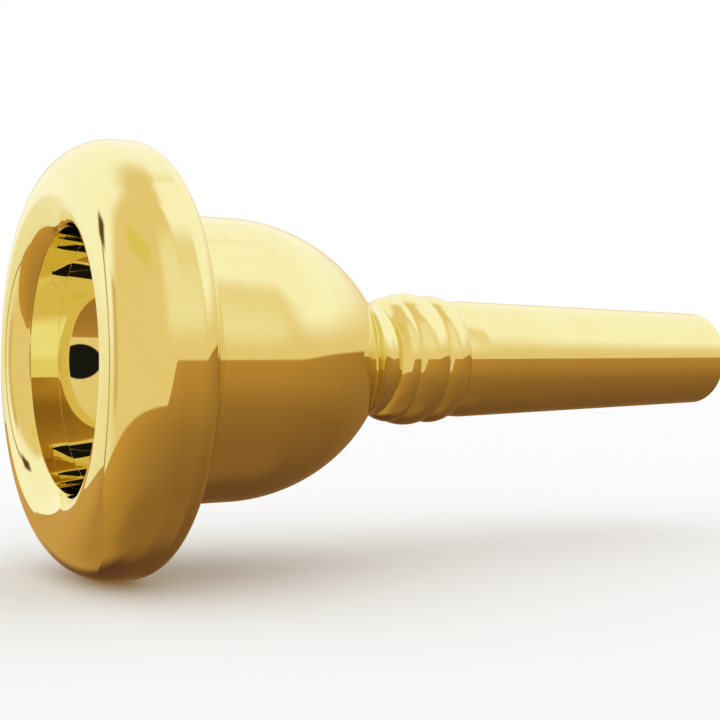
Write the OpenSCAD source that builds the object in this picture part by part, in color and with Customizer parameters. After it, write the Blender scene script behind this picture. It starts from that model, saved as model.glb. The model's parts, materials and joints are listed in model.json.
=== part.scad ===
// Small-shank trombone mouthpiece in three screwed sections: rim, cup and shank.
// Stations run along the axis from the rim's highest ring, and an outline's points are
// [station, radius]. The part's origin is the centre of the shank's end, and +X leaves it.

/* [Overall] */
// Length from the rim's highest ring to the end of the shank
length = 81; // [80.5:0.5:84]

/* [Rim] */
// Outside diameter of the rim
rim_d = 41.4; // [40:0.2:43]
// Diameter of the rim's highest ring
crown_d = 30.4; // [29.5:0.1:31]
// Diameter of the bite, where the rim turns into the cup
bite_d = 25; // [24.6:0.1:25.4]
// Depth of the bite below the rim's highest ring
bite_depth = 1.8; // [1.4:0.1:2.2]
// Thickness of the rim at its outer edge
rim_depth = 9.3; // [8.6:0.1:9.6]

/* [Cup] */
// Outside diameter of the cup's straight part
cup_d = 28.1; // [27.9:0.1:29]
// Station of the shoulder that the rim screws up to
cup_front = 11.6; // [11.2:0.1:12]
// Station of the face that screws up to the shank
cup_back = 34.9; // [34.6:0.1:35.2]
// Station where the outside starts to curve in
curve_start = 17.5; // [17:0.1:18]
// Radius of the outside curve, in the axial plane
curve_r = 18.6; // [18.4:0.1:18.8]
// Diameter of the small collar at the cup's back
collar_d = 11.9; // [11.8:0.1:12.1]

/* [Bowl and bore] */
// Slope of the bowl's wall behind the bite, in degrees
bowl_lead = 7.2; // [6.8:0.2:9]
// Station where the wall starts to curve in
bowl_curve = 3.4; // [3:0.1:4.2]
// Radius of that curve, in the axial plane
bowl_curve_r = 19; // [18:0.5:20]
// Slope of the cone behind the curve, in degrees
bowl_cone = 24.8; // [24.2:0.2:27]
// Diameter of the throat, the narrowest part of the bore
throat_d = 5.9; // [5.6:0.1:6.1]
// Rounding where the bowl's cone runs into the throat
throat_round = 4.4; // [4:0.1:4.8]
// Diameter of the backbore where it leaves the shank
backbore_d = 9.2; // [8.6:0.1:9.4]

/* [Shank] */
// Outside diameter of the shank at its end
tip_d = 10.9; // [10.8:0.05:11.1]
// Length over which the shank grows by one unit of diameter
taper = 20; // [19:0.5:21]
// Station where the taper starts, behind the beads
taper_start = 46; // [45.5:0.5:48]

/* [Threads and seals] */
// Pitch of both screw threads
pitch = 1; // [0.9:0.05:1]
// Outside diameter of the thread that holds the rim
rim_thread_d = 27.1; // [27.05:0.05:27.15]
// Outside diameter of the thread that holds the shank
shank_thread_d = 9.2; // [9.1:0.05:9.3]
// Height of the threads
thread_h = 0.6; // [0.5:0.05:0.6]
// Clearance between a thread's crest and the groove that it runs in
thread_gap = 0.15; // [0.12:0.01:0.18]
// Thickness of the O-rings
seal_d = 0.9; // [0.8:0.05:0.9]

/* [Hidden] */
$fn = 144;

gold = [0.86, 0.68, 0.28];
rubber = [0.06, 0.06, 0.06];

rim_r = rim_d / 2;
crown_r = crown_d / 2;
bite_r = bite_d / 2;
cup_r = cup_d / 2;
throat_r = throat_d / 2;
collar_r = collar_d / 2;

// Rim section: how far back the outside curve reaches, the inner slope, and the edges' roundings
crown_fall = 1.02 * (rim_r - crown_r);
crown_bulge = 0.28;
bite_land = 0.05;
bite_edge = 0.35;
bite_overhang = 0.1;
rim_back_edge = 2.3;
rim_back_angle = 8;
rim_back_lean = 0.5;
edge = 0.15;

// Join of rim and cup: the cup's spigot reaches forward to spigot_front
spigot_front = 4.8;
seal_pocket = 1.2;
seat_gap = 0.02;
seam_gap = 0.03;
seal_gap = 0.04;
pocket_step = 0.06;
rim_root_r = rim_thread_d / 2 - thread_h;
rim_bore_r = rim_root_r + thread_gap;
rim_pocket_r = rim_thread_d / 2 + thread_gap + pocket_step;
rim_seal_r = rim_pocket_r - seal_gap - seal_d / 2;

// Join of cup and shank: the shank's spigot reaches forward to tail_front
tail_front = cup_back - 6.1;
tail_gap = 0.1;
shank_root_r = shank_thread_d / 2 - thread_h;
shank_bore_r = shank_root_r + thread_gap;
shank_pocket_r = shank_thread_d / 2 + thread_gap + pocket_step;
shank_seal_r = shank_pocket_r - seal_gap - seal_d / 2;

// Thread section and lengths along the thread, in units of the pitch, and steps in one turn
root_half = 0.42;
crest_half = 0.07;
flank_gap = 0.1;
root_sink = 0.2;
turn_steps = 36;
run_out = 0.4;
run_out_tip = 0.02;
groove_lead = 0.6;

// Outside curve of the cup's back: the round body, then a flare down to the collar
flare_r = 3.1;
body_centre = [curve_start, cup_r - curve_r];
flare_centre = let (rise = collar_r + flare_r - body_centre[1], reach = curve_r + flare_r)
    [curve_start + sqrt(reach * reach - rise * rise), collar_r + flare_r];
body_end_angle = atan2(flare_centre[1] - body_centre[1], flare_centre[0] - body_centre[0]);

// Bowl: from the bite's rounding straight, then a curve, a cone and a rounded edge into the throat
bite_centre = [bite_depth + bite_edge, bite_r + bite_edge - bite_overhang];
wall_start = bite_centre - bite_edge * [sin(bowl_lead), cos(bowl_lead)];
curve_top = [bowl_curve, wall_start[1] - (bowl_curve - wall_start[0]) * tan(bowl_lead)];
curve_centre = curve_top - bowl_curve_r * [sin(bowl_lead), cos(bowl_lead)];
cone_start = curve_centre + bowl_curve_r * [sin(bowl_cone), cos(bowl_cone)];
throat_start = let (drop = (throat_r + throat_round - cone_start[1]) * cos(bowl_cone))
    cone_start[0] + (throat_round - drop) / sin(bowl_cone);
throat_centre = [throat_start, throat_r + throat_round];

// Beads and neck between the cup and the taper
bead_foot = [cup_back + 0.15, 5.8];
bead_1_2 = [cup_back + 2.1, 6.63];
bead_2_3 = [cup_back + 5.7, 6.57];
bead_end = [cup_back + 8.7, 6.14];
bead_bulge = [0.26, 0.42, 0.46];
neck_step = 0.1;
neck_bulge = 0.03;
tip_edge = 0.6;
tip_edge_angle = 88;

// Radius of the shank's taper at a station
function taper_r(s) = tip_d / 2 + (length - s) / (2 * taper);

// Angle on the bowl's curve at a station
function wall_angle(s) = acos((s - curve_centre[0]) / bowl_curve_r);

// Points along an arc, from the first one wanted; angles in degrees from the axis, outwards
function arc(centre, r, from, to, steps = 8, first = 0) =
    [for (i = [first:steps]) let (a = from + (to - from) * i / steps) centre + r * [cos(a), sin(a)]];

// Points after a along the arc that bulges by h on the left of the way from a to b
function bulge(a, b, h, steps = 8) =
    let (chord = norm(b - a), r = (chord * chord / 4 + h * h) / (2 * h), along = (b - a) / chord,
         out = [-along[1], along[0]], centre = (a + b) / 2 + out * (h - r), half = asin(chord / 2 / r))
    [for (i = [1:steps]) let (t = half * (2 * i / steps - 1)) centre + r * (along * sin(t) + out * cos(t))];

// Things drawn along +Z from the rim's plane, laid along the part's axis
module along_axis() {
    translate([-length, 0, 0])
        rotate([0, 90, 0])
            children();
}

// A turned solid from an outline
module turned(outline) {
    rotate_extrude()
        polygon([for (p = outline) [p[1], p[0]]]);
}

// A right-hand helical ridge from station a to b, on a root of radius r, grown by gap all round
module ridge(r, a, b, gap = 0) {
    steps = ceil((b - a) / pitch * turn_steps);
    points = [for (i = [0:steps])
        let (s = a + (b - a) * i / steps, turn = 360 * s / pitch,
             f = min(1, min(i, steps - i) / (run_out * turn_steps) + run_out_tip),
             top = r + thread_h * (gap > 0 ? 1 : f), grow = gap / pitch,
             section = [[r - root_sink, -root_half - grow], [top, -crest_half - grow],
                        [top, crest_half + grow], [r - root_sink, root_half + grow]])
        for (q = section) [q[0] * cos(turn), q[0] * sin(turn), s + q[1] * pitch]];
    sides = [for (i = [0:steps - 1], k = [0:3])
        let (p = 4 * i + k, n = 4 * i + (k + 1) % 4)
        for (t = [[p, n, n + 4], [p, n + 4, p + 4]]) t];
    last = 4 * steps;
    ends = [[3, 2, 1, 0], [last, last + 1, last + 2, last + 3]];
    polyhedron(points = points, faces = concat(sides, ends));
}

// A round ring of circular section
module o_ring(r, s) {
    along_axis()
        translate([0, 0, s])
            rotate_extrude()
                translate([r, 0])
                    circle(d = seal_d, $fn = 24);
}

// Outline of the rim: bowl wall, bite, crown, outer edge, back, then the threaded bore
function rim_outline() = concat(
    arc(curve_centre, bowl_curve_r, wall_angle(spigot_front - seam_gap), 90 - bowl_lead, 2),
    arc(bite_centre, bite_edge, 270 - bowl_lead, 225, 4),
    bulge([bite_depth, bite_r + bite_land], [0, crown_r], crown_bulge, 10),
    [for (p = arc([1, 0], 1, 180, 90, 16, 1)) [crown_fall * p[0], crown_r + (rim_r - crown_r) * p[1]]],
    arc([rim_depth - rim_back_edge, rim_r - rim_back_edge], rim_back_edge, 90, rim_back_angle),
    [[cup_front - seat_gap, cup_r + rim_back_lean], [cup_front - seat_gap, rim_pocket_r]],
    [[cup_front - seal_pocket, rim_pocket_r], [cup_front - seal_pocket, rim_bore_r]],
    [[spigot_front - seam_gap, rim_bore_r]]
);

module rim() {
    color(gold)
        along_axis()
            difference() {
                turned(rim_outline());
                ridge(rim_bore_r, spigot_front + groove_lead * pitch,
                      cup_front - seal_pocket + pitch, flank_gap);
            }
}

module rim_seal() {
    color(rubber)
        o_ring(rim_seal_r, cup_front - seal_pocket / 2);
}

// Outline of the cup: spigot, seal groove, body, collar, socket for the shank, throat and bowl
function cup_outline() = concat(
    [[spigot_front, rim_root_r - edge], [spigot_front + edge, rim_root_r]],
    [[cup_front - seal_pocket, rim_root_r]],
    [[cup_front - seal_pocket, rim_seal_r - seal_d / 2 - seal_gap]],
    [[cup_front, rim_seal_r - seal_d / 2 - seal_gap], [cup_front, cup_r - edge]],
    [[cup_front + edge, cup_r]],
    arc(body_centre, curve_r, 90, body_end_angle, 24),
    arc(flare_centre, flare_r, 180 + body_end_angle, 270, 8, 1),
    [[cup_back - edge, collar_r - edge / 2], [cup_back, collar_r - edge]],
    [[cup_back, shank_pocket_r], [cup_back - seal_pocket, shank_pocket_r]],
    [[cup_back - seal_pocket, shank_bore_r], [tail_front - tail_gap, shank_bore_r]],
    [[tail_front - tail_gap, throat_r]],
    arc(throat_centre, throat_round, 270, 270 - bowl_cone, 8),
    arc(curve_centre, bowl_curve_r, 90 - bowl_cone, wall_angle(spigot_front), 8)
);

module cup() {
    color(gold)
        along_axis()
            difference() {
                union() {
                    turned(cup_outline());
                    ridge(rim_root_r, spigot_front + pitch, cup_front - seal_pocket - pitch / 2);
                }
                ridge(shank_bore_r, tail_front + groove_lead * pitch,
                      cup_back - seal_pocket + pitch, flank_gap);
            }
}

module shank_seal() {
    color(rubber)
        o_ring(shank_seal_r, cup_back - seal_pocket / 2);
}

// Outline of the shank: spigot, seal groove, shoulder, beads, neck, taper, end and backbore
function shank_outline() = concat(
    [[tail_front, throat_r], [tail_front, shank_root_r - edge], [tail_front + edge, shank_root_r]],
    [[cup_back - seal_pocket, shank_root_r]],
    [[cup_back - seal_pocket, shank_seal_r - seal_d / 2 - seal_gap]],
    [[cup_back + seat_gap, shank_seal_r - seal_d / 2 - seal_gap], [cup_back + seat_gap, bead_foot[1] - edge]],
    [bead_foot],
    bulge(bead_foot, bead_1_2, bead_bulge[0]),
    bulge(bead_1_2, bead_2_3, bead_bulge[1], 12),
    bulge(bead_2_3, bead_end, bead_bulge[2], 12),
    bulge(bead_end + [neck_step, 0], [taper_start, taper_r(taper_start)], neck_bulge, 3),
    arc([length - tip_edge, tip_d / 2 - tip_edge], tip_edge, tip_edge_angle, 0, 6),
    [[length, backbore_d / 2 + edge], [length - edge, backbore_d / 2]],
    [[cup_back, throat_r]]
);

module shank() {
    color(gold)
        along_axis()
            union() {
                turned(shank_outline());
                ridge(shank_root_r, tail_front + pitch, cup_back - seal_pocket - pitch / 2);
            }
}

rim();
rim_seal();
cup();
shank_seal();
shank();
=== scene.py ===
"""Gold-plated trombone mouthpiece in three screwed sections, with an O-ring in each join.

The CAD nodes give the outlines: each turned section is rebuilt from its node's own outline as a
fine lathe mesh with real helical threads. Lengths are in metres unless a name says otherwise.
"""

import json
import math
from collections import Counter, defaultdict

import bpy
import numpy as np
from mathutils import Matrix, Vector


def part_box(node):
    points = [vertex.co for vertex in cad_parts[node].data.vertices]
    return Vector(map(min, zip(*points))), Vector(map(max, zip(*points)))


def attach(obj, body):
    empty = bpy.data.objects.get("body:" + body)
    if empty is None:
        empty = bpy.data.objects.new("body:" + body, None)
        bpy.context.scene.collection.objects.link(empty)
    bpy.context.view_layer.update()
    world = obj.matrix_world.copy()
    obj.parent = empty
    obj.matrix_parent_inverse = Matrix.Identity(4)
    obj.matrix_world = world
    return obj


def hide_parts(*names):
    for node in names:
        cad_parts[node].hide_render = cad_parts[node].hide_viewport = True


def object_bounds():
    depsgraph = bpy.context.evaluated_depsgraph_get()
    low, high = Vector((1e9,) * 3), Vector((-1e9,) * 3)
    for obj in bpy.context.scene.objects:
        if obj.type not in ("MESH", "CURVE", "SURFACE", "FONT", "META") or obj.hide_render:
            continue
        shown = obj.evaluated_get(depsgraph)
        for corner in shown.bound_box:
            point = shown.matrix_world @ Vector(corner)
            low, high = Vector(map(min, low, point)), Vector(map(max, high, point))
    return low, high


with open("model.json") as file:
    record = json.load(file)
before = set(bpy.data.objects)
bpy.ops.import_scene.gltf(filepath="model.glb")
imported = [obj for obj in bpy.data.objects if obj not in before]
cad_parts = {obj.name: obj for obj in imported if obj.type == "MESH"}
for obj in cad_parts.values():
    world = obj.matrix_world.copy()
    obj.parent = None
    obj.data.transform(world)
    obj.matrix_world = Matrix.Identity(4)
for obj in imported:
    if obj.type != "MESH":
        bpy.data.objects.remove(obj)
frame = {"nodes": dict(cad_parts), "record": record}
cad_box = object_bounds()

MM = 0.001

# Camera, at the photograph's viewing angle
LENS_MM = 65.25
SENSOR_MM = 36
CAMERA_AT = Vector((-0.11602, -0.11910, 0.00015))
CAMERA_PAN_DEG = 29.93
CAMERA_TILT_DEG = -0.09
CAMERA_ROLL_DEG = -0.19
CAMERA_CLIP = 1 * MM

# Finding a turned node's outline: how near two rings are the same one, the sectors that a circle is
# counted in and how many of them a ring fills, the meridian lines that join two rings, and how far
# off a meridian such a line may run
SAME_RING = 0.006 * MM
SECTORS = 12
SECTORS_FILLED = 11
LINKS_WANTED = 4
MERIDIAN_DEG = 0.5

# Lathe meshes: how the outlines are refined. A segment LONG_SEGMENT times its neighbour is
# straight, and SUPPORT is how near a corner the next ring lies
SEGMENTS = 288
STRAIGHT_DEG = 0.4
CORNER_DEG = 24
CORNER_ROUND = 0.006 * MM
CORNER_SHARE = 0.3
CORNER_STEPS = (0.25, 0.5, 0.75)
ARC_STEP_DEG = 1.5
LONG_SEGMENT = 2.4
LONG_STEP = 1.0 * MM
SUPPORT = 0.02 * MM
SUPPORT_SHARE = 0.3

# The hairline that is left in the bowl where the rim meets the cup, and how near it faces are
# closed to it
SEAM = 0.002 * MM
SEAM_CLOSED = 0.05 * MM

# Thread form: half widths in pitches, the groove's extra width, and the run-out in turns. A
# groove's mouth leans by MOUTH_SLOPE, so that its rows don't fold onto each other
THREAD_ROOT_HALF = 0.42
THREAD_CREST_HALF = 0.07
THREAD_GROOVE_GAP = 0.1
THREAD_RUN_OUT = 0.5
THREAD_STEP = 0.05 * MM
MOUTH_SLOPE = 0.02

# Finding the threads in the CAD nodes: the shortest stretch that has one, the heights over its root
# that its vertices have, how many there are at least, how much of the height counts as crest, and
# how many pitches from the crest's ends its phase is measured
THREAD_LENGTH = 3 * MM
THREAD_HEIGHTS = (0.2 * MM, 0.75 * MM)
THREAD_VERTICES = 40
CREST_SHARE = 0.93
PHASE_MARGIN = 0.6

# Colours, linear
GOLD = (0.89, 0.83, 0.43)
GOLD_DEEP = (0.87, 0.79, 0.38)
RUBBER = (0.012, 0.012, 0.013)
RUBBER_DUST = (0.05, 0.048, 0.045)
LIGHT = (1.07, 1.06, 1.06)
WALL_TAN = (0.87, 0.69, 0.385)
WALL_PALE = (0.96, 0.88, 0.67)
CARD_OLIVE = (0.80, 0.66, 0.20)
CARD_BROWN = (0.72, 0.52, 0.25)
POST_BROWN = (0.42, 0.26, 0.09)
LAMP_DARK = (0.13, 0.07, 0.025)
TABLE_BRIGHT = (0.60, 0.325, 0.080)
TABLE_DARK = (0.11, 0.045, 0.025)
LENS = (0.010, 0.010, 0.012)
WHITE = (1.0, 1.0, 1.0)
FLOOR = (0.97, 0.97, 0.97)

# Gold: each noise as scale, detail and roughness, how far it roughens, raises or tones the surface,
# and the ranges of noise that haze, pits and tone start and end at
MARKS = (9000, 3)
BANDS = (420, 2)
SMUDGE = (160, 4, 0.62)
GRAIN = (3400, 2, 0.7)
PITS = (5200, 1)
POLISH = 0.015
HAZE_RANGE = (0.45, 0.75)
HAZE_ROUGH = 0.05
MARKS_ROUGH = 0.03
MARKS_HEIGHT = 0.12
PITS_RANGE = (0.70, 0.80)
PITS_HEIGHT = -0.5
GOLD_BUMP = 0.3
GOLD_BUMP_HEIGHT = 0.004 * MM
BROAD_TONE = 0.35
GRAIN_TONE = 0.3
TONE_RANGE = (0.35, 0.65)

# Rubber: its moulded grain and its dust
RUBBER_GRAIN = (9000, 3)
DUST = (900, 3)
DUST_RANGE = (0.58, 0.75)
DUST_ROUGH = 0.25
RUBBER_ROUGH = 0.42
RUBBER_BUMP = 0.4
RUBBER_BUMP_HEIGHT = 0.01 * MM

# The cone inside the metal that parts the smoother bowl and throat from the outside: its radius at
# one x, how much the radius falls along x, and the width of the change
BOWL_SIDE_X = -78 * MM
BOWL_SIDE_R = 12.8 * MM
BOWL_SIDE_SLOPE = 0.315
BOWL_SIDE_SOFT = 0.2 * MM

# The brown table's far edge, as the sine of its elevation: its height to the left and right, how
# much lower it is behind on the left, the directions' x or y over which each comes in, and the
# edge's softness
EDGE_LEFT = -0.37
EDGE_RIGHT = 0.06
EDGE_BEHIND = -0.10
LEFT_RANGE = (0.1, -0.2)
RIGHT_RANGE = (0.6, 1.0)
BEHIND_RANGE = (0.55, 0.62)
EDGE_SOFT = 0.012

# The azimuths between which the table darkens and falls off, counted from 0 to 360
TABLE_DARK_END = 0
TABLE_BRIGHT_END = 290
TABLE_FALL = (362, 335)

# The table's brightness: from straight below to the height TABLE_SHALLOW, the part straight below,
# and the lift towards its far edge, all by the sine of the elevation
TABLE_SHALLOW = -0.25
TABLE_LEVELS = (0.6, 1.1)
TABLE_BELOW = (-0.8, -1.0)
TABLE_BELOW_LEVEL = 0.38
TABLE_FAR = (-0.55, 0.0)
TABLE_FAR_LEVEL = 0.3

# The floor that the mouthpiece lies on
FLOOR_RADIUS = 3.0
FLOOR_VERTICES = 128

# Things in the studio that the gold mirrors, by direction from it: the azimuth, which is 0 along +Y
# and 90 along +X, the elevation, both half widths, the softness, all in degrees, and the colour
SURROUNDINGS = {
    "pale wall": (-32, -8, 36, 24, 12, WALL_PALE),
    "pale wall, right": (168, 38, 22, 24, 10, WALL_PALE),
    "soft box": (33, 42, 104, 24, 11, LIGHT),
    "soft box, left": (-34, 22, 38, 18, 9, LIGHT),
    "soft box, top": (94, 66, 34, 9, 6, LIGHT),
    "olive card": (-122, 50, 24, 6, 4, CARD_OLIVE),
    "brown card": (-73, 4, 4, 15, 3, CARD_BROWN),
    "thin post": (-56.5, 4, 1.2, 26, 1.1, POST_BROWN),
    "lamp on the post": (-56.5, 27, 4, 5, 2, LAMP_DARK),
}

# The camera's round lens, which only the mirror-smooth bowl shows: azimuth, elevation, both half
# widths and the softness of its edge as a part of them
LENS_PLACE = (-161, 1, 12, 16.5, 0.05)

# A brown block behind the rim, which only the gold sees: its outline in x and z, in mm, at one y,
# its colours, and where it darkens and, below BLOCK_WHOLE, fades out to the right
BLOCK_Y = 40 * MM
BLOCK = ((-165, -95), (-165, -43), (-140, -31.5), (-122, -25), (-102.5, -18.6), (-98, -9),
         (-95, -7.7), (-72, -7.7), (-72, -50), (-105, -95))
BLOCK_BRIGHT = (0.62, 0.36, 0.11)
BLOCK_DARK = (0.46, 0.25, 0.07)
BLOCK_SHADE = (-62 * MM, -30 * MM)
BLOCK_FADE = (-73 * MM, -86 * MM)
BLOCK_WHOLE = (-34 * MM, -24 * MM)

# O-rings: the steps round the ring and round its section, and the flash line's height and width
O_RING_SEGMENTS = 240
O_RING_SECTION = 48
FLASH_HEIGHT = 0.02 * MM
FLASH_WIDTH = 0.1


# ---------------------------------------------------------------- outlines of the CAD nodes

def turned_rings(mesh):
    """The rings of a turned node: (x, r) of every circle of vertices that goes most of the way
    round, and the pairs of them that the mesh joins along a meridian."""
    co = np.array([v.co for v in mesh.vertices])
    radius = np.hypot(co[:, 1], co[:, 2])
    angle = np.degrees(np.arctan2(co[:, 2], co[:, 1]))
    raw = [(round(float(x) / SAME_RING), round(float(r) / SAME_RING))
           for x, r in zip(co[:, 0], radius)]
    place = {}
    for key in sorted(set(raw)):
        near = [(key[0] + i, key[1] + j) for i in (-1, 0, 1) for j in (-1, 0, 1)]
        place[key] = next((place[n] for n in near if n in place), key)
    key = [place[k] for k in raw]
    sectors = defaultdict(set)
    spot = defaultdict(list)
    for k, a, x, r in zip(key, angle, co[:, 0], radius):
        sectors[k].add(int((a + 180) // (360 / SECTORS)) % SECTORS)
        spot[k].append((x, r))
    rings = {k: tuple(np.mean(spot[k], axis=0)) for k, s in sectors.items()
             if len(s) >= SECTORS_FILLED}
    links = Counter()
    for edge in mesh.edges:
        i, j = edge.vertices
        turn = abs((angle[i] - angle[j] + 180) % 360 - 180)
        if key[i] != key[j] and key[i] in rings and key[j] in rings and turn < MERIDIAN_DEG:
            links[tuple(sorted((key[i], key[j])))] += 1
    return rings, [pair for pair, n in links.items() if n >= LINKS_WANTED]


def outline(node):
    """A turned node's outline as a closed loop of (x, r), and the stretches (i, i + 1) of it that
    a thread has broken."""
    rings, links = turned_rings(frame["nodes"][node].data)
    joined = defaultdict(list)
    for a, b in links:
        joined[a].append(b)
        joined[b].append(a)
    start = min(joined, key=lambda k: (rings[k][0], rings[k][1]))
    loop, broken = [start], []
    while True:
        here = loop[-1]
        ahead = [k for k in joined[here] if k not in loop]
        if ahead:
            loop.append(min(ahead, key=lambda k: math.dist(rings[k], rings[here])))
            continue
        loose = [k for k in joined if k not in loop and len(joined[k]) == 1]
        if not loose:
            break
        broken.append(len(loop) - 1)
        loop.append(min(loose, key=lambda k: math.dist(rings[k], rings[here])))
    return [rings[k] for k in loop], broken


def with_corners(loop, broken):
    """The outline with the corner that a thread's mouth has cut away put back, and no point left
    in the middle of a straight line."""
    points = []
    for i, p in enumerate(loop):
        points.append(p)
        if i in broken:
            q = loop[(i + 1) % len(loop)]
            if abs(p[1] - q[1]) > SAME_RING:
                points.append((max(p, q, key=lambda c: c[1])[0], min(p[1], q[1])))
    kept = [i for i in range(len(points)) if abs(bend(points, i)) > STRAIGHT_DEG]
    return [points[i] for i in kept]


def bend(points, i):
    """How far the closed outline turns at point i, in degrees."""
    a, b, c = points[i - 1], points[i], points[(i + 1) % len(points)]
    before = math.atan2(b[1] - a[1], b[0] - a[0])
    after = math.atan2(c[1] - b[1], c[0] - b[0])
    return math.degrees((after - before + math.pi) % (2 * math.pi) - math.pi)


def signed_area(points):
    """Twice the area that the closed outline encloses, above zero if it runs anticlockwise."""
    x, r = np.array(points).T
    return float(np.sum(x * np.roll(r, -1) - np.roll(x, -1) * r))


def unit(v):
    """The vector v at a length of 1."""
    return v / np.linalg.norm(v)


def tangents(points):
    """The way the outline runs at each point: along a long straight segment that ends there, or
    else along the circle through the point and its neighbours."""
    p = np.array(points)
    ahead = np.roll(p, -1, axis=0) - p
    length = np.linalg.norm(ahead, axis=1)
    out = []
    for i in range(len(p)):
        before, after = length[i - 1], length[i]
        if before > LONG_SEGMENT * after:
            out.append(unit(ahead[i - 1]))
        elif after > LONG_SEGMENT * before:
            out.append(unit(ahead[i]))
        else:
            out.append(unit(ahead[i - 1] / before * after + ahead[i] / after * before))
    return out


def refined(points):
    """The outline with its arcs drawn in fine steps and its sharp corners slightly broken."""
    n = len(points)
    p = np.array(points)
    corner = [abs(bend(points, i)) > CORNER_DEG for i in range(n)]
    run = tangents(points)
    path = []
    for i in range(n):
        j = (i + 1) % n
        line = p[j] - p[i]
        length = np.linalg.norm(line)
        straight = unit(line)
        ends = [run[i], run[j]]
        if corner[i]:
            ends[0] = straight if corner[j] else mirrored(run[j], straight)
        if corner[j]:
            ends[1] = straight if corner[i] else mirrored(run[i], straight)
        turn = sum(math.degrees(math.acos(min(1, float(e @ straight)))) for e in ends)
        steps = max(1, math.ceil(turn / ARC_STEP_DEG))
        first = corner_cut(p, i) / length if corner[i] else 0
        last = 1 - corner_cut(p, j) / length if corner[j] else 1
        inner = np.linspace(first, last, steps + 1)
        support = SUPPORT / length
        if corner[i] != corner[j]:
            near = first + support if corner[i] else last - support
            if min(abs(inner - near)) > SUPPORT_SHARE * support:
                inner = np.sort(np.append(inner, near))
        if turn < STRAIGHT_DEG:
            keep = min(support, SUPPORT_SHARE)
            middle = np.linspace(first + keep, last - keep, max(2, math.ceil(length / LONG_STEP)))
            inner = np.unique(np.concatenate([[first], middle, [last]]))
        for t in inner[:-1] if not corner[j] else inner:
            path.append(hermite(p[i], p[j], ends[0] * length, ends[1] * length, t))
        if corner[j]:
            k = (j + 1) % n
            cut = corner_cut(p, j)
            a, b = p[j] - cut * straight, p[j] + cut * unit(p[k] - p[j])
            path.extend((1 - t) ** 2 * a + 2 * t * (1 - t) * p[j] + t * t * b for t in CORNER_STEPS)
    return np.array(path)


def mirrored(end, chord):
    """The way an arc runs at one end of its chord, from the way that it runs at the other."""
    return 2 * (end @ chord) * chord - end


def corner_cut(p, i):
    """How far from corner i its rounding starts."""
    n = len(p)
    room = min(np.linalg.norm(p[i] - p[i - 1]), np.linalg.norm(p[(i + 1) % n] - p[i]))
    return min(CORNER_ROUND, CORNER_SHARE * room)


def hermite(a, b, da, db, t):
    """The point at t, from 0 to 1, of the curve that leaves a along da and reaches b along db."""
    return ((2 * t ** 3 - 3 * t ** 2 + 1) * a + (t ** 3 - 2 * t ** 2 + t) * da
            + (3 * t ** 2 - 2 * t ** 3) * b + (t ** 3 - t ** 2) * db)


# ---------------------------------------------------------------- threads

# Both screws' pitch, from the record's couplings of turn to slide
PITCH = 2 * math.pi / frame["record"]["behaviour"]["couplings"][0]["ratio"]


def find_threads(node, points):
    """Each thread on a straight stretch of the node's outline: its root radius, height, the x where
    its full crest starts and ends, and its phase."""
    co = np.array([v.co for v in frame["nodes"][node].data.vertices])
    radius = np.hypot(co[:, 1], co[:, 2])
    angle = np.arctan2(co[:, 2], co[:, 1])
    found = []
    for i, (x0, r0) in enumerate(points):
        x1, r1 = points[(i + 1) % len(points)]
        lo, hi = sorted((x0, x1))
        if abs(r1 - r0) > SAME_RING or hi - lo < THREAD_LENGTH:
            continue
        inside = (co[:, 0] > lo + SAME_RING) & (co[:, 0] < hi - SAME_RING) \
            & (radius > r0 + THREAD_HEIGHTS[0]) & (radius < r0 + THREAD_HEIGHTS[1])
        if inside.sum() < THREAD_VERTICES:
            continue
        height = radius[inside].max() - r0
        crest = inside & (radius > r0 + CREST_SHARE * height)
        ends = co[crest, 0].min(), co[crest, 0].max()
        margin = PHASE_MARGIN * PITCH
        whole = crest & (co[:, 0] > ends[0] + margin) & (co[:, 0] < ends[1] - margin)
        wave = np.exp(1j * (angle[whole] - 2 * math.pi * co[whole, 0] / PITCH))
        found.append({"x": (lo, hi), "root": r0, "height": height, "crest": ends,
                      "groove": (x1 - x0) * signed_area(points) > 0,
                      "phase": float(np.angle(wave.mean()))})
    return found


def thread_radius(thread, x, angle):
    """Radius of the threaded surface at (x, angle). A groove is a little wider than a ridge, and it
    is open at its far end."""
    turns = x / PITCH - (angle - thread["phase"]) / (2 * math.pi)
    off = turns - np.round(turns)
    middle = x - off * PITCH
    lo, hi = thread["crest"]
    room = middle - lo if thread["groove"] else np.minimum(middle - lo, hi - middle)
    fade = np.clip(room / (THREAD_RUN_OUT * PITCH) + 1, 0, 1)
    gap = THREAD_GROOVE_GAP if thread["groove"] else 0
    flank = (THREAD_ROOT_HALF + gap - np.abs(off)) / (THREAD_ROOT_HALF - THREAD_CREST_HALF)
    return thread["root"] + thread["height"] * np.minimum(np.clip(flank, 0, 1), fade)


def mesh_grid(name, verts, flip):
    """A smooth piece from a grid of points that closes on itself both ways."""
    n, m = verts.shape[:2]
    row, seg = np.meshgrid(np.arange(n), np.arange(m), indexing="ij")
    next_row, next_seg = (row + 1) % n, (seg + 1) % m
    corners = (row, seg), (row, next_seg), (next_row, next_seg), (next_row, seg)
    quads = np.stack([r * m + s for r, s in corners], axis=-1).reshape(-1, 4)
    if flip:
        quads = quads[:, ::-1]
    mesh = bpy.data.meshes.new(name)
    mesh.from_pydata(verts.reshape(-1, 3).tolist(), [], quads.tolist())
    mesh.polygons.foreach_set("use_smooth", [True] * len(mesh.polygons))
    piece = bpy.data.objects.new(name, mesh)
    bpy.context.collection.objects.link(piece)
    return piece


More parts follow.
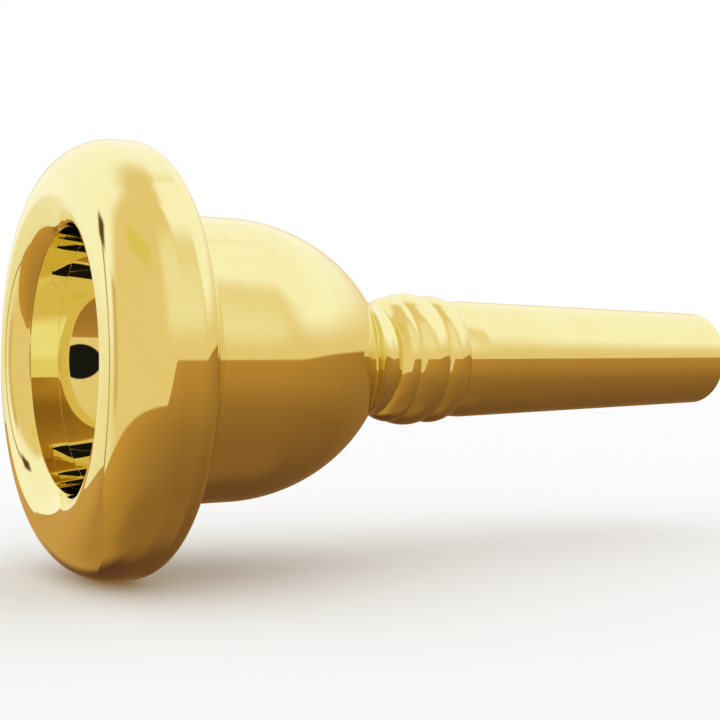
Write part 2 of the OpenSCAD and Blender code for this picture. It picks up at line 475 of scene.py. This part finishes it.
def lathe(name, points, threads, limits):
    """A turned piece: the outline swept round the x axis, with its threads cut into it."""
    path = np.clip(refined(points), *limits)
    rows = []
    for a, b in zip(path, np.roll(path, -1, axis=0)):
        rows.append(a)
        middle = (a[0] + b[0]) / 2
        if any(t["x"][0] < middle < t["x"][1] and abs(a[1] - t["root"]) < SAME_RING
               and abs(b[1] - t["root"]) < SAME_RING for t in threads):
            steps = max(1, math.ceil(abs(b[0] - a[0]) / THREAD_STEP))
            rows.extend(a + (b - a) * k / steps for k in range(1, steps))
    rows = np.array(rows)
    angle = np.arange(SEGMENTS) * 2 * math.pi / SEGMENTS
    x = np.repeat(rows[:, :1], SEGMENTS, axis=1)
    r = np.repeat(rows[:, 1:], SEGMENTS, axis=1)
    for t in threads:
        reach = (SAME_RING, t["height"]) if t["groove"] else (-SAME_RING, SAME_RING)
        on = (rows[:, 0] > t["x"][0] + SAME_RING) & (rows[:, 0] < t["x"][1] + reach[0]) \
            & (rows[:, 1] > t["root"] - SAME_RING) & (rows[:, 1] < t["root"] + reach[1])
        face = MOUTH_SLOPE * (r[on] - t["root"])
        r[on] = np.maximum(r[on], thread_radius(t, x[on], angle[None, :]) + face)
    verts = np.stack([x, r * np.cos(angle), r * np.sin(angle)], axis=-1)
    return mesh_grid(name, verts, flip=signed_area(rows) > 0)


def turned_piece(node):
    """A finely turned section that stands for its CAD node, with its threads."""
    loop, broken = outline(node)
    points = with_corners(loop, broken)
    if node == "rim":
        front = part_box("cup")[0].x - SEAM
        points = [(front if abs(x - front) < SEAM_CLOSED else x, r) for x, r in points]
    low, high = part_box(node)
    limits = (low.x, 0), (high.x, min(high.y, high.z, -low.y, -low.z))
    piece = lathe(node + "_turned", points, find_threads(node, points), limits)
    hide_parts(node)
    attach(piece, node)
    return piece


def o_ring(node):
    """A moulded O-ring with the flash line that its mould's two halves leave round it."""
    low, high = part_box(node)
    x, section = (low.x + high.x) / 2, (high.x - low.x) / 2
    ring = high.y - section
    body = section - FLASH_HEIGHT
    around = np.arange(O_RING_SEGMENTS) * 2 * math.pi / O_RING_SEGMENTS
    across = np.arange(O_RING_SECTION) * 2 * math.pi / O_RING_SECTION
    flash = FLASH_HEIGHT * np.exp(-(np.sin(across) / FLASH_WIDTH) ** 2)
    r = ring + (body + flash) * np.cos(across)
    px = x + (body + flash) * np.sin(across)
    verts = np.stack([np.broadcast_to(px, (O_RING_SEGMENTS, O_RING_SECTION)),
                      np.outer(np.cos(around), r), np.outer(np.sin(around), r)], axis=-1)
    piece = mesh_grid(node + "_moulded", verts, flip=False)
    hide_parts(node)
    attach(piece, node)
    return piece


# ---------------------------------------------------------------- materials

class Shader:
    """A material's or the world's node tree, with short calls for adding nodes to it."""

    def __init__(self, owner):
        owner.use_nodes = True
        self.tree = owner.node_tree
        self.tree.nodes.clear()

    def add(self, kind, inputs=(), **settings):
        node = self.tree.nodes.new("ShaderNode" + kind)
        for key, value in settings.items():
            setattr(node, key, value)
        for key, value in dict(inputs).items():
            self.set(node, key, value)
        return node

    def set(self, node, key, value):
        socket = node.inputs[key]
        if isinstance(value, bpy.types.NodeSocket):
            self.tree.links.new(value, socket)
        elif isinstance(value, tuple) and len(value) == 3 and len(socket.default_value) == 4:
            socket.default_value = (*value, 1)
        else:
            socket.default_value = value

    def math(self, operation, a, b=0.0):
        return self.add("Math", {0: a, 1: b}, operation=operation).outputs[0]

    def mix(self, factor, a, b):
        node = self.add("Mix", data_type="RGBA")
        for key, value in ((0, factor), (6, a), (7, b)):
            self.set(node, key, value)
        return node.outputs[2]

    def ramp(self, value, low, high, smooth=True):
        """0 below low, 1 above high."""
        node = self.add("MapRange", {"Value": value, "From Min": low, "From Max": high})
        node.interpolation_type = "SMOOTHSTEP" if smooth else "LINEAR"
        return node.outputs[0]

    def noise(self, vector, scale, detail=2.0, roughness=0.5):
        return self.add("TexNoise", {"Vector": vector, "Scale": scale, "Detail": detail,
                                     "Roughness": roughness}).outputs["Fac"]


def gold(name):
    """Mirror-polished gold plate: faint turning marks round the axis, a buffed unevenness, smudges,
    fine grain and small pits, all but none of them in the bowl, which is smoother."""
    material = bpy.data.materials.new(name)
    s = Shader(material)
    place = s.add("TexCoord").outputs["Object"]
    part = s.add("SeparateXYZ", {0: place})
    x, y, z = part.outputs
    radius = s.math("SQRT", s.math("ADD", s.math("MULTIPLY", y, y), s.math("MULTIPLY", z, z)))
    along = s.math("MULTIPLY", s.math("SUBTRACT", x, BOWL_SIDE_X), BOWL_SIDE_SLOPE)
    cone = s.math("ADD", along, radius)
    outside = s.ramp(cone, BOWL_SIDE_R, BOWL_SIDE_R + BOWL_SIDE_SOFT)
    lathe_place = s.add("CombineXYZ", {0: x, 1: radius}).outputs[0]
    marks = s.noise(lathe_place, *MARKS)
    bands = s.noise(lathe_place, *BANDS)
    smudge = s.noise(place, *SMUDGE)
    grain = s.noise(place, *GRAIN)
    pits = s.noise(place, *PITS)
    haze = s.ramp(smudge, *HAZE_RANGE)
    dull = s.math("ADD", s.math("MULTIPLY", haze, HAZE_ROUGH),
                  s.math("MULTIPLY", marks, MARKS_ROUGH))
    height = s.math("ADD", s.math("MULTIPLY", marks, MARKS_HEIGHT), bands)
    height = s.math("ADD", height, s.math("MULTIPLY", s.ramp(pits, *PITS_RANGE), PITS_HEIGHT))
    bump = s.add("Bump", {"Strength": s.math("MULTIPLY", outside, GOLD_BUMP),
                          "Distance": GOLD_BUMP_HEIGHT, "Height": height})
    tone = s.math("ADD", s.math("MULTIPLY", s.math("ADD", bands, smudge), BROAD_TONE),
                  s.math("MULTIPLY", grain, GRAIN_TONE))
    shader = s.add("BsdfPrincipled", {
        "Base Color": s.mix(s.ramp(tone, *TONE_RANGE), GOLD, GOLD_DEEP), "Metallic": 1.0,
        "Roughness": s.math("MULTIPLY", outside, s.math("ADD", dull, POLISH)),
        "Normal": bump.outputs[0]})
    s.add("OutputMaterial", {"Surface": shader.outputs[0]})
    return material


def rubber(name):
    """Satin black rubber with a fine moulded grain and a little dust."""
    material = bpy.data.materials.new(name)
    s = Shader(material)
    place = s.add("TexCoord").outputs["Object"]
    grain = s.noise(place, *RUBBER_GRAIN)
    dust = s.ramp(s.noise(place, *DUST), *DUST_RANGE)
    bump = s.add("Bump", {"Strength": RUBBER_BUMP, "Distance": RUBBER_BUMP_HEIGHT, "Height": grain})
    shader = s.add("BsdfPrincipled", {
        "Base Color": s.mix(dust, RUBBER, RUBBER_DUST),
        "Roughness": s.math("ADD", s.math("MULTIPLY", dust, DUST_ROUGH), RUBBER_ROUGH),
        "Normal": bump.outputs[0]})
    s.add("OutputMaterial", {"Surface": shader.outputs[0]})
    return material


# ---------------------------------------------------------------- stage, lights and camera

def studio_camera():
    """The camera, at the photograph's viewing angle."""
    data = bpy.data.cameras.new("camera")
    data.lens = LENS_MM
    data.sensor_width = SENSOR_MM
    data.clip_start = CAMERA_CLIP
    camera = bpy.data.objects.new("camera", data)
    bpy.context.collection.objects.link(camera)
    turn = Matrix.Rotation(math.radians(-CAMERA_PAN_DEG), 4, "Z") \
        @ Matrix.Rotation(math.radians(90 + CAMERA_TILT_DEG), 4, "X") \
        @ Matrix.Rotation(math.radians(CAMERA_ROLL_DEG), 4, "Z")
    camera.matrix_world = Matrix.Translation(CAMERA_AT) @ turn
    bpy.context.scene.camera = camera


def studio_world():
    """Soft white light above and a brown table below, with the things in the studio between them,
    all of which the gold mirrors."""
    world = bpy.data.worlds.new("studio")
    bpy.context.scene.world = world
    s = Shader(world)
    part = s.add("SeparateXYZ", {0: s.add("TexCoord").outputs["Generated"]})
    x, y, z = part.outputs
    azimuth = s.math("DEGREES", s.math("ARCTAN2", x, y))
    elevation = s.math("DEGREES", s.math("ARCSINE", z))
    light = WALL_TAN
    for place in SURROUNDINGS.values():
        light = s.mix(patch(s, azimuth, elevation, *place[:-1]), light, place[-1])
    behind = s.math("MULTIPLY", s.ramp(y, *BEHIND_RANGE), EDGE_BEHIND)
    edge = s.math("MULTIPLY", s.ramp(x, *LEFT_RANGE), s.math("ADD", behind, EDGE_LEFT))
    edge = s.math("ADD", edge, s.math("MULTIPLY", s.ramp(x, *RIGHT_RANGE), EDGE_RIGHT))
    over = s.math("SUBTRACT", z, edge)
    colour = s.mix(s.ramp(over, -EDGE_SOFT, EDGE_SOFT), table(s, azimuth, z), light)
    path = s.add("LightPath").outputs
    lens = s.math("MULTIPLY", disc(s, azimuth, elevation, *LENS_PLACE), path["Is Singular Ray"])
    colour = s.mix(lens, colour, LENS)
    colour = s.mix(path["Is Glossy Ray"], WHITE, colour)
    background = s.add("Background", {"Color": colour, "Strength": 1.0})
    s.add("OutputWorld", {"Surface": background.outputs[0]})


def patch(s, azimuth, elevation, middle, height, half_width, half_height, soft):
    """1 inside a box of directions, fading to 0 over its edges."""
    across = s.add("Math", {0: s.math("SUBTRACT", azimuth, middle), 1: 180.0, 2: -180.0},
                   operation="WRAP")
    off = s.math("ABSOLUTE", across.outputs[0])
    up = s.math("ABSOLUTE", s.math("SUBTRACT", elevation, height))
    return s.math("MULTIPLY", s.ramp(off, half_width + soft, half_width - soft),
                  s.ramp(up, half_height + soft, half_height - soft))


def disc(s, azimuth, elevation, middle, height, half_width, half_height, soft):
    """1 inside an ellipse of directions, fading to 0 over its edge."""
    across = s.math("DIVIDE", s.math("SUBTRACT", azimuth, middle), half_width)
    up = s.math("DIVIDE", s.math("SUBTRACT", elevation, height), half_height)
    square = s.math("ADD", s.math("MULTIPLY", across, across), s.math("MULTIPLY", up, up))
    return s.ramp(s.math("SQRT", square), 1 + soft, 1 - soft)


def table(s, azimuth, z):
    """The brown table: brightest behind on the left and darkest just past that, darker further
    down, and of one middling brown straight below."""
    around = s.add("Math", {0: azimuth, 1: 360.0, 2: 0.0}, operation="WRAP").outputs[0]
    bright = s.math("MULTIPLY", s.ramp(around, TABLE_DARK_END, TABLE_BRIGHT_END, smooth=False),
                    s.ramp(around, *TABLE_FALL))
    shallow = s.add("MapRange", {"Value": z, "From Min": -1.0, "From Max": TABLE_SHALLOW,
                                 "To Min": TABLE_LEVELS[0], "To Max": TABLE_LEVELS[1]})
    below = s.ramp(z, *TABLE_BELOW)
    bright = s.math("MULTIPLY", bright, shallow.outputs[0])
    level = s.math("ADD", s.math("MULTIPLY", bright, s.math("SUBTRACT", 1.0, below)),
                   s.math("MULTIPLY", below, TABLE_BELOW_LEVEL))
    far = s.math("MULTIPLY", s.ramp(z, *TABLE_FAR, smooth=False), TABLE_FAR_LEVEL)
    return s.mix(s.math("ADD", level, far), TABLE_DARK, TABLE_BRIGHT)


def floor():
    """A plain pale floor that the gold doesn't mirror."""
    low, _ = cad_box
    bpy.ops.mesh.primitive_circle_add(vertices=FLOOR_VERTICES, radius=FLOOR_RADIUS,
                                      fill_type="NGON", location=(0, 0, low[2]))
    plane = bpy.context.object
    plane.name = "floor"
    material = bpy.data.materials.new("floor")
    s = Shader(material)
    shader = s.add("BsdfDiffuse", {"Color": FLOOR})
    s.add("OutputMaterial", {"Surface": shader.outputs[0]})
    plane.data.materials.append(material)
    plane.visible_glossy = False


def block():
    """The brown block behind the rim, of which only the outside's gold shows a reflection."""
    mesh = bpy.data.meshes.new("block")
    mesh.from_pydata([(x * MM, BLOCK_Y, z * MM) for x, z in BLOCK], [], [range(len(BLOCK))])
    card = bpy.data.objects.new("block", mesh)
    bpy.context.collection.objects.link(card)
    material = bpy.data.materials.new("block")
    s = Shader(material)
    x, _, z = s.add("SeparateXYZ", {0: s.add("TexCoord").outputs["Object"]}).outputs
    height = s.ramp(z, *BLOCK_SHADE, smooth=False)
    brown = s.add("Emission", {"Color": s.mix(height, BLOCK_DARK, BLOCK_BRIGHT)})
    solid = s.math("MAXIMUM", s.ramp(x, *BLOCK_FADE), s.ramp(z, *BLOCK_WHOLE))
    singular = s.add("LightPath").outputs["Is Singular Ray"]
    solid = s.math("MULTIPLY", solid, s.math("SUBTRACT", 1.0, singular))
    clear = s.add("BsdfTransparent")
    shader = s.add("MixShader", {0: solid, 1: clear.outputs[0], 2: brown.outputs[0]})
    s.add("OutputMaterial", {"Surface": shader.outputs[0]})
    mesh.materials.append(material)
    card.visible_camera = card.visible_diffuse = card.visible_shadow = False


for node in ("rim", "cup", "shank"):
    turned_piece(node).data.materials.append(gold(node + "_gold"))
for node in ("rim_seal", "shank_seal"):
    o_ring(node).data.materials.append(rubber(node + "_rubber"))

studio_world()
floor()
block()
studio_camera()
bpy.context.scene.view_settings.view_transform = "Standard"
